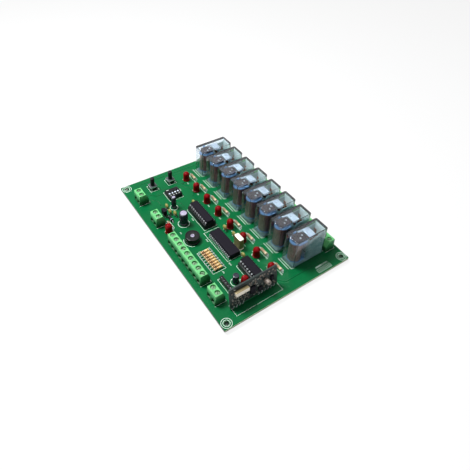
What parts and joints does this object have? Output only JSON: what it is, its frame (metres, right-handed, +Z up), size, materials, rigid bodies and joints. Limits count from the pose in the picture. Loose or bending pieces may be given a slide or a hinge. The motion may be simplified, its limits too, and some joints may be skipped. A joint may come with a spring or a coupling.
{
  "type": "rf receiver board",
  "caption": "Green radio receiver board with a row of clear-covered relays, screw terminals along both long edges, push buttons, a slide switch and a plug-in radio module.",
  "frame": {"origin": "centre of the four corner holes, on the board's underside", "axes": "+X along the board's long side towards the radio module, +Y towards the relay output terminals, +Z up from the component side"},
  "size_m": [0.157, 0.1086, 0.0284],
  "materials": {
    "board_green": "satin",
    "solder": "satin",
    "switch_body": "satin",
    "button_black": "satin",
    "dip_body": "satin",
    "slider_white": "satin",
    "socket_black": "matt",
    "chip_black": "matt",
    "sounder_black": "satin",
    "crystal_steel": "polished",
    "capacitor_sleeve": "gloss",
    "ceramic_yellow": "satin",
    "led_red": "gloss",
    "resistor_tan": "satin",
    "terminal_green": "satin",
    "plated_steel": "satin",
    "module_green": "satin",
    "module_parts": "satin",
    "contact_copper": "satin",
    "relay_clear": "clear gloss",
    "relay_moulding": "satin",
    "coil_copper": "satin",
    "armature_steel": "satin"
  },
  "bodies": {
    "board_assembly": {"ceramic_capacitors": "ceramic_yellow", "controller_ic": "chip_black", "crystal": "crystal_steel", "dip_switch_body": "dip_body", "electrolytic_capacitors": "capacitor_sleeve", "ic_sockets": "socket_black", "input_terminals": "terminal_green", "leds": "led_red", "output_terminals": "terminal_green", "pcb": "board_green", "push_button_bodies": "switch_body", "regulator_and_diode": "chip_black", "relay_1_base": "relay_moulding", "relay_1_coil": "coil_copper", "relay_1_cover": "relay_clear", "relay_2_base": "relay_moulding", "relay_2_coil": "coil_copper", "relay_2_cover": "relay_clear", "relay_3_base": "relay_moulding", "relay_3_coil": "coil_copper", "relay_3_cover": "relay_clear", "relay_4_base": "relay_moulding", "relay_4_coil": "coil_copper", "relay_4_cover": "relay_clear", "relay_5_base": "relay_moulding", "relay_5_coil": "coil_copper", "relay_5_cover": "relay_clear", "relay_6_base": "relay_moulding", "relay_6_coil": "coil_copper", "relay_6_cover": "relay_clear", "relay_7_base": "relay_moulding", "relay_7_coil": "coil_copper", "relay_7_cover": "relay_clear", "relay_8_base": "relay_moulding", "relay_8_coil": "coil_copper", "relay_8_cover": "relay_clear", "relay_contacts": "contact_copper", "resistors": "resistor_tan", "rf_module_board": "module_green", "rf_module_parts": "module_parts", "socket_strip": "socket_black", "socketed_ics": "chip_black", "solder_joints": "solder", "sounder": "sounder_black", "terminal_clamps": "plated_steel", "terminal_screws": "plated_steel"},
    "push_button_1": {"push_button_1": "button_black"},
    "push_button_2": {"push_button_2": "button_black"},
    "dip_switch_slider_1": {"dip_switch_slider_1": "slider_white"},
    "dip_switch_slider_2": {"dip_switch_slider_2": "slider_white"},
    "dip_switch_slider_3": {"dip_switch_slider_3": "slider_white"},
    "dip_switch_slider_4": {"dip_switch_slider_4": "slider_white"},
    "relay_1_armature": {"relay_1_armature": "armature_steel"},
    "relay_2_armature": {"relay_2_armature": "armature_steel"},
    "relay_3_armature": {"relay_3_armature": "armature_steel"},
    "relay_4_armature": {"relay_4_armature": "armature_steel"},
    "relay_5_armature": {"relay_5_armature": "armature_steel"},
    "relay_6_armature": {"relay_6_armature": "armature_steel"},
    "relay_7_armature": {"relay_7_armature": "armature_steel"},
    "relay_8_armature": {"relay_8_armature": "armature_steel"}
  },
  "joints": [
    {"name": "push_button_1_press", "type": "slide", "parent": "board_assembly", "child": "push_button_1", "axis": [0, 0, -1], "range_m": [0, 0.00025], "stiffness_N_per_m": 600},
    {"name": "push_button_2_press", "type": "slide", "parent": "board_assembly", "child": "push_button_2", "axis": [0, 0, -1], "range_m": [0, 0.00025], "stiffness_N_per_m": 600},
    {"name": "dip_switch_slider_1_slide", "type": "slide", "parent": "board_assembly", "child": "dip_switch_slider_1", "axis": [-1, 0, 0], "range_m": [0, 0.0018]},
    {"name": "dip_switch_slider_2_slide", "type": "slide", "parent": "board_assembly", "child": "dip_switch_slider_2", "axis": [-1, 0, 0], "range_m": [0, 0.0018]},
    {"name": "dip_switch_slider_3_slide", "type": "slide", "parent": "board_assembly", "child": "dip_switch_slider_3", "axis": [-1, 0, 0], "range_m": [0, 0.0018]},
    {"name": "dip_switch_slider_4_slide", "type": "slide", "parent": "board_assembly", "child": "dip_switch_slider_4", "axis": [-1, 0, 0], "range_m": [0, 0.0018]},
    {"name": "relay_1_armature_pull_in", "type": "hinge", "parent": "board_assembly", "child": "relay_1_armature", "pos_m": [-0.062, 0.0252, 0.0223], "axis": [1, 0, 0], "range_deg": [0, 5.5], "stiffness_Nm_per_rad": 0.002, "springref_deg": -11.46},
    {"name": "relay_2_armature_pull_in", "type": "hinge", "parent": "board_assembly", "child": "relay_2_armature", "pos_m": [-0.0449, 0.0252, 0.0223], "axis": [1, 0, 0], "range_deg": [0, 5.5], "stiffness_Nm_per_rad": 0.002, "springref_deg": -11.46},
    {"name": "relay_3_armature_pull_in", "type": "hinge", "parent": "board_assembly", "child": "relay_3_armature", "pos_m": [-0.0278, 0.0252, 0.0223], "axis": [1, 0, 0], "range_deg": [0, 5.5], "stiffness_Nm_per_rad": 0.002, "springref_deg": -11.46},
    {"name": "relay_4_armature_pull_in", "type": "hinge", "parent": "board_assembly", "child": "relay_4_armature", "pos_m": [-0.0107, 0.0252, 0.0223], "axis": [1, 0, 0], "range_deg": [0, 5.5], "stiffness_Nm_per_rad": 0.002, "springref_deg": -11.46},
    {"name": "relay_5_armature_pull_in", "type": "hinge", "parent": "board_assembly", "child": "relay_5_armature", "pos_m": [0.0064, 0.0252, 0.0223], "axis": [1, 0, 0], "range_deg": [0, 5.5], "stiffness_Nm_per_rad": 0.002, "springref_deg": -11.46},
    {"name": "relay_6_armature_pull_in", "type": "hinge", "parent": "board_assembly", "child": "relay_6_armature", "pos_m": [0.0235, 0.0252, 0.0223], "axis": [1, 0, 0], "range_deg": [0, 5.5], "stiffness_Nm_per_rad": 0.002, "springref_deg": -11.46},
    {"name": "relay_7_armature_pull_in", "type": "hinge", "parent": "board_assembly", "child": "relay_7_armature", "pos_m": [0.0406, 0.0252, 0.0223], "axis": [1, 0, 0], "range_deg": [0, 5.5], "stiffness_Nm_per_rad": 0.002, "springref_deg": -11.46},
    {"name": "relay_8_armature_pull_in", "type": "hinge", "parent": "board_assembly", "child": "relay_8_armature", "pos_m": [0.0577, 0.0252, 0.0223], "axis": [1, 0, 0], "range_deg": [0, 5.5], "stiffness_Nm_per_rad": 0.002, "springref_deg": -11.46}
  ]
}
